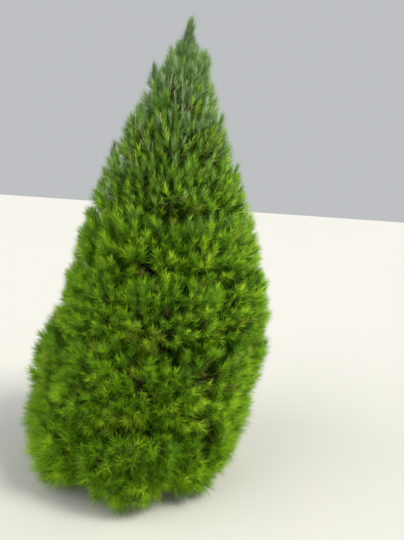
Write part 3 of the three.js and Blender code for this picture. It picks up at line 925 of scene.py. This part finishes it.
def tube_data(lines, radii, sides, bulge=1.0):
    """Corners and triangles of many tubes. Lines is (tubes, points, 3), and radii (tubes, points)."""
    lines = np.asarray(lines, float)
    tubes, points, _ = lines.shape
    along = np.gradient(lines, axis=1)
    along /= np.maximum(1e-9, np.linalg.norm(along, axis=2, keepdims=True))
    first, second = (v.reshape(tubes, points, 3) for v in frames_across(along.reshape(-1, 3)))
    angle = 2 * np.pi * np.arange(sides) / sides
    ring = first[:, :, None] * np.cos(angle)[:, None] + second[:, :, None] * np.sin(angle)[:, None]
    size = np.asarray(radii, float)[:, :, None] * bulge
    corners = lines[:, :, None] + ring * size[..., None]
    corners = np.concatenate([corners.reshape(tubes, -1, 3), lines[:, :1], lines[:, -1:]], axis=1)
    faces = np.arange(tubes)[:, None, None] * (points * sides + 2) + tube_faces(points, sides)
    return corners.reshape(-1, 3), faces.reshape(-1, 3)


def tube_faces(points, sides):
    """The triangles of one tube, whose last two corners are the middles of its ends."""
    faces = []
    for k in range(points - 1):
        for side in range(sides):
            a, b = k * sides + side, k * sides + (side + 1) % sides
            faces += [(a, b, b + sides), (a, b + sides, a + sides)]
    foot, head = points * sides, points * sides + 1
    last = (points - 1) * sides
    for side in range(sides):
        after = (side + 1) % sides
        faces += [(foot, after, side), (head, last + side, last + after)]
    return np.array(faces)


def joined(parts):
    """Several lots of corners, triangles and material numbers as one."""
    corners, faces, slots, offset = [], [], [], 0
    for part_corners, part_faces, part_slots in parts:
        corners.append(part_corners)
        faces.append(part_faces + offset)
        slots.append(np.broadcast_to(part_slots, len(part_faces)))
        offset += len(part_corners)
    return np.concatenate(corners), np.concatenate(faces), np.concatenate(slots)


def add_object(name, data):
    added = bpy.data.objects.new(name, data)
    bpy.context.scene.collection.objects.link(added)
    return added


def mesh_piece(name, mesh_data, materials, nodes):
    """A smooth piece made from arrays, which rides on the tree and replaces nodes."""
    corners, faces, slots = mesh_data
    mesh = bpy.data.meshes.new(name)
    mesh.vertices.add(len(corners))
    mesh.vertices.foreach_set("co", np.ascontiguousarray(corners, np.float32).ravel())
    mesh.loops.add(3 * len(faces))
    mesh.loops.foreach_set("vertex_index", np.ascontiguousarray(faces, np.int32).ravel())
    mesh.polygons.add(len(faces))
    mesh.polygons.foreach_set("loop_start", np.arange(0, 3 * len(faces), 3, dtype=np.int32))
    for material in materials:
        mesh.materials.append(material)
    slots = np.broadcast_to(slots, len(faces))
    mesh.polygons.foreach_set("material_index", np.ascontiguousarray(slots, np.int32))
    mesh.polygons.foreach_set("use_smooth", np.ones(len(faces), bool))
    mesh.update(calc_edges=True)
    mesh.validate()
    piece = add_object(name, mesh)
    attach(piece, "root")
    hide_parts(*nodes)


# Materials.
def srgb(red, green, blue):
    """The linear colour of an 8-bit one."""
    def linear(value):
        value /= 255
        return value / 12.92 if value <= 0.04045 else ((value + 0.055) / 1.055) ** 2.4

    return (linear(red), linear(green), linear(blue), 1.0)


def set_inputs(node, values):
    for name, value in values.items():
        node.inputs[name].default_value = value


def new_material(name):
    material = bpy.data.materials.new(name)
    material.use_nodes = True
    nodes, links = material.node_tree.nodes, material.node_tree.links
    nodes.clear()
    output = nodes.new("ShaderNodeOutputMaterial")
    shader = nodes.new("ShaderNodeBsdfPrincipled")
    links.new(shader.outputs["BSDF"], output.inputs["Surface"])
    return material, nodes, links, shader


def noise_node(nodes, links, scale, detail, stretch=(1, 1, 1)):
    place = nodes.new("ShaderNodeTexCoord")
    mapping = nodes.new("ShaderNodeMapping")
    set_inputs(mapping, {"Scale": stretch})
    noise = nodes.new("ShaderNodeTexNoise")
    set_inputs(noise, {"Scale": scale, "Detail": detail})
    links.new(place.outputs["Object"], mapping.inputs["Vector"])
    links.new(mapping.outputs["Vector"], noise.inputs["Vector"])
    return noise


def color_by(nodes, links, noise, shader, stops):
    """Colours a shader by a noise, from a list of its values and their colours."""
    ramp = nodes.new("ShaderNodeValToRGB")
    elements = ramp.color_ramp.elements
    while len(elements) < len(stops):
        elements.new(0.5)
    for element, (position, color) in zip(elements, stops):
        element.position = position
        element.color = color
    links.new(noise.outputs["Fac"], ramp.inputs["Fac"])
    links.new(ramp.outputs["Color"], shader.inputs["Base Color"])


def roughen_by(nodes, links, noise, shader, low, high):
    """Spreads a shader's roughness over the noise's usual range, 0.3 to 0.7."""
    scaled = nodes.new("ShaderNodeMapRange")
    set_inputs(scaled, {"From Min": 0.3, "From Max": 0.7, "To Min": low, "To Max": high})
    links.new(noise.outputs["Fac"], scaled.inputs["Value"])
    links.new(scaled.outputs["Result"], shader.inputs["Roughness"])


def needle_material(name, color, roughness, vary=TONE_CHANGE):
    """Waxy needles: one tint with a slight change of tone from needle to needle."""
    material, nodes, links, shader = new_material(f"needles_{name}")
    noise = noise_node(nodes, links, 34, 2)
    color = srgb(*color)[:3]
    dark = (*(channel * (1 - vary) for channel in color), 1)
    light = (*(min(1, channel * (1 + vary)) for channel in color), 1)
    color_by(nodes, links, noise, shader, [(0.34, dark), (0.66, light)])
    roughen_by(nodes, links, noise, shader, roughness - 0.06, roughness + 0.08)
    set_inputs(shader, {"Specular IOR Level": 0.18})
    return material


def bark_material(name, colors, scale, depth, stretch=(1, 1, 1)):
    """Rough bark: dark fissures, scaly plates and a fine grain."""
    material, nodes, links, shader = new_material(name)
    plates = noise_node(nodes, links, scale, 6, stretch)
    grain = noise_node(nodes, links, scale * 7, 4, stretch)
    stops = [(place, srgb(*color)) for place, color in zip((0.34, 0.5, 0.68), colors)]
    color_by(nodes, links, plates, shader, stops)
    roughen_by(nodes, links, grain, shader, 0.78, 0.98)
    bump = nodes.new("ShaderNodeBump")
    set_inputs(bump, {"Strength": 0.6, "Distance": depth})
    links.new(grain.outputs["Fac"], bump.inputs["Height"])
    links.new(bump.outputs["Normal"], shader.inputs["Normal"])
    set_inputs(shader, {"Specular IOR Level": 0.25})
    return material


needle_materials = [needle_material(*look) for look in NEEDLE_LOOKS]
trunk_bark = bark_material(
    "trunk_bark", [(48, 38, 31), (97, 82, 68), (140, 124, 105)], 26, 0.003, stretch=(1, 1, 0.35)
)
bough_bark = bark_material("bough_bark", [(66, 50, 34), (118, 94, 66), (152, 128, 92)], 60, 0.0012)
twig_barks = [
    bark_material("twig_bark", [(58, 54, 30), (90, 84, 50), (120, 110, 72)], 90, 0.0005),
    bark_material("young_bark", [(96, 100, 44), (130, 132, 62), (160, 156, 84)], 90, 0.0004),
    bark_material("pale_bark", [(176, 170, 108), (206, 198, 140), (230, 222, 172)], 90, 0.0004),
]
TWIG, YOUNG, PALE = range(3)


# The trunk and the boughs, with bark relief in the mesh.
def value_noise(u, v, cells_u, cells_v, seed):
    """Smooth noise over a wrapped direction u and a height v, both counted in cells."""
    grid = np.random.default_rng(seed).random((cells_v + 2, cells_u))
    column, row = np.floor(u).astype(int), np.clip(np.floor(v).astype(int), 0, cells_v)
    right, up = u - np.floor(u), np.clip(v - row, 0, 1)
    right, up = right * right * (3 - 2 * right), up * up * (3 - 2 * up)
    here, beside = column % cells_u, (column + 1) % cells_u
    low = mix(grid[row, here], grid[row, beside], right)
    return mix(low, mix(grid[row + 1, here], grid[row + 1, beside], right), up)


def bark_relief(sides, rings, plates, seed):
    """Relief from -1 in the fissures to 1 on the plates, on a grid of rings by sides."""
    u, v = np.meshgrid(np.arange(sides) / sides, np.arange(rings) / (rings - 1))
    across, up = plates
    warp = value_noise(u * 7, v * up / 2, 7, up // 2 + 1, seed)
    coarse = value_noise(u * across + 1.4 * warp, v * up, across, up, seed + 1)
    fine = value_noise(u * across * 3, v * up * 2, across * 3, up * 2, seed + 2)
    ridges = 1 - np.abs(2 * coarse - 1) * 1.9
    return np.clip(-ridges + 0.45 * (2 * fine - 1), -1, 1)


def build_trunk():
    heights = TRUNK_HEIGHT * (np.arange(TRUNK_RINGS) / (TRUNK_RINGS - 1)) ** TRUNK_RING_POWER
    line = np.array([axis_point(z) for z in heights])
    radii = np.array([trunk_radius(z) for z in heights])
    angles = -2 * np.pi * np.arange(TRUNK_SIDES) / TRUNK_SIDES
    fade = np.exp(-FLARE_LOBE_FALL * heights / FLARE_HEIGHT)[:, None]
    lobes = 1 + FLARE_LOBE_DEPTH * fade * np.cos(FLARE_LOBES * angles)[None]
    depth = np.interp(heights, *zip(*TRUNK_RELIEF))[:, None]
    relief = bark_relief(TRUNK_SIDES, TRUNK_RINGS, TRUNK_PLATES, seed=3)
    radius = radii[:, None] * lobes - TRUNK_SKIN + depth * relief * TRUNK_RELIEF_SHARE
    across, back = np.cos(angles)[None] * radius, np.sin(angles)[None] * radius
    corners = line[:, None] + np.stack([across, back, np.zeros_like(radius)], axis=2)
    corners = np.concatenate([corners.reshape(-1, 3), line[:1], line[-1:]])
    faces = tube_faces(TRUNK_RINGS, TRUNK_SIDES)[:, ::-1]
    mesh_piece("trunk_with_bark", (corners, faces, 0), [trunk_bark], ["trunk"])


def build_boughs():
    shares = np.linspace(0, 1, BOUGH_RINGS)
    lines, radii, names = [], [], []
    for cell in ALL_CELLS:
        start_radius = TIERS[cell["tier"]]["bough"]
        if not start_radius:
            continue
        reach = cell["inner"] - BOUGH_TIP_CLEARANCE
        lines.append([stem_point(cell, reach * share) for share in shares])
        collar = 1 + COLLAR_SWELL * np.exp(-((shares * reach - COLLAR_PLACE) / COLLAR_WIDTH) ** 2)
        radii.append(start_radius * mix(1, BOUGH_TAPER, shares) * collar)
        names.append(f"bough_{cell['label']}")
    seeds = range(40, 40 + len(lines))
    relief = np.array([bark_relief(BOUGH_SIDES, BOUGH_RINGS, BOUGH_PLATES, seed) for seed in seeds])
    tubes = tube_data(lines, radii, BOUGH_SIDES, 1 + BOUGH_RELIEF * relief)
    mesh_piece("boughs_with_bark", (*tubes, 0), [bough_bark], names)


# The foliage, tier by tier.
def curves(lines, points):
    """The points of many curved lines."""
    start, bend, end = np.moveaxis(np.array(lines, float).reshape(-1, 3, 3), 1, 0)[:, :, None]
    return bezier(start, bend, end, np.linspace(0, 1, points)[None, :, None])


def twig_mesh_data(growth):
    """Stems, laterals, the shoots' twigs and candles as tubes, browner the older they are."""
    twigs = curves(array_of(growth.shoots, "line"), len(SHOOT_TAPER))
    twig_radii = array_of(growth.shoots, "radius")[:, None] * SHOOT_TAPER
    kinds = [
        (growth.stems, np.linspace(*STEM_RADII, STEM_POINTS), 8, TWIG),
        (growth.leader, np.linspace(*LEADER_STEM_RADII, STEM_POINTS), 8, YOUNG),
        (curves(growth.laterals, LATERAL_POINTS), np.linspace(*LATERAL_RADII, LATERAL_POINTS), 5, TWIG),
        (curves(growth.strays, LATERAL_POINTS), np.linspace(*STRAY_RADII, LATERAL_POINTS), 5, TWIG),
        (twigs, twig_radii, 3, YOUNG),
        (curves(growth.candles, CANDLE_POINTS), np.linspace(*CANDLE_RADII, CANDLE_POINTS), 5, PALE),
    ]
    parts = []
    for lines, radii, sides, bark in kinds:
        if len(lines):
            radii = np.broadcast_to(radii, (len(lines), len(lines[0])))
            parts.append((*tube_data(lines, radii, sides), bark))
    return joined(parts)


def add_foliage(name, growth, nodes, rng):
    """The needles and the twigs of one piece of the crown."""
    needles = needle_mesh_data(growth.shoots, rng)
    mesh_piece(f"needles_{name}", needles, needle_materials, nodes)
    mesh_piece(f"twigs_{name}", twig_mesh_data(growth), twig_barks, nodes)


def build_tier(tier, cells):
    """A tier's masses, in two pieces for the lowest tiers, so that no piece has too many faces."""
    letters = ["a", "b"] if tier < TIERS_IN_TWO else [""]
    for half, (letter, group) in enumerate(zip(letters, np.array_split(cells, len(letters)))):
        rng = np.random.default_rng(1000 + 10 * tier + half)
        growth = Growth()
        for cell in group:
            Mass(cell, growth, rng).grow()
        if half == 0:
            grow_strays(growth, tier, rng)
        nodes = [f"needles_{cell['label']}" for cell in group]
        add_foliage(f"tier_{tier + 1}{letter}", growth, nodes, rng)


def build_leader():
    rng = np.random.default_rng(2000)
    growth = Growth()
    grow_leader(growth, rng)
    add_foliage("leader", growth, ["needles_leader"], rng)


# The floor, the light and the camera.
def placed(columns, place):
    """A matrix with three directions as its columns, at a place."""
    return Matrix([(*row, where) for row, where in zip(columns, place)] + [(0, 0, 0, 1)])


def build_floor():
    mesh = bpy.data.meshes.new("floor")
    corners = [(x * FLOOR_HALF, y * FLOOR_HALF, 0) for x, y in ((-1, -1), (1, -1), (1, 1), (-1, 1))]
    mesh.from_pydata(corners, [], [(0, 1, 2, 3)])
    floor = add_object("floor", mesh)
    material, _, _, shader = new_material("floor_pale")
    set_inputs(shader, {"Base Color": FLOOR_COLOR, "Roughness": 0.9})
    floor.data.materials.append(material)


def light_sky():
    world = bpy.data.worlds.new("studio")
    bpy.context.scene.world = world
    world.use_nodes = True
    set_inputs(world.node_tree.nodes["Background"], {"Color": SKY_COLOR, "Strength": SKY_STRENGTH})


def add_sun(name, toward, breadth, strength, color):
    """A broad soft light that shines along one direction over the whole floor."""
    light = bpy.data.lights.new(name, "SUN")
    light.angle = math.radians(breadth)
    light.energy = strength
    light.color = color
    back = -np.array(toward, float) / np.linalg.norm(toward)
    right = np.cross([0.0, 0.0, 1.0], back)
    right /= np.linalg.norm(right)
    columns = np.column_stack([right, np.cross(back, right), back])
    add_object(name, light).matrix_world = placed(columns, (0, 0, 0))


def add_camera():
    forward = np.array([0, math.cos(CAMERA_DOWN), -math.sin(CAMERA_DOWN)])
    upward = np.array([0, math.sin(CAMERA_DOWN), math.cos(CAMERA_DOWN)])
    sideward = np.array([1.0, 0, 0])
    c, s = math.cos(CAMERA_ROLL), math.sin(CAMERA_ROLL)
    columns = np.column_stack([c * sideward + s * upward, c * upward - s * sideward, -forward])
    data = bpy.data.cameras.new("camera")
    data.lens = CAMERA_LENS
    data.sensor_width = CAMERA_SENSOR
    camera = add_object("camera", data)
    camera.matrix_world = placed(columns, CAMERA_PLACE)
    bpy.context.scene.camera = camera
    bpy.context.scene.view_settings.view_transform = "Standard"


build_trunk()
build_boughs()
for tier, cells in enumerate(CELLS[:-1]):
    build_tier(tier, cells)
build_leader()
build_floor()
light_sky()
for sun in SUNS:
    add_sun(**sun)
add_camera()
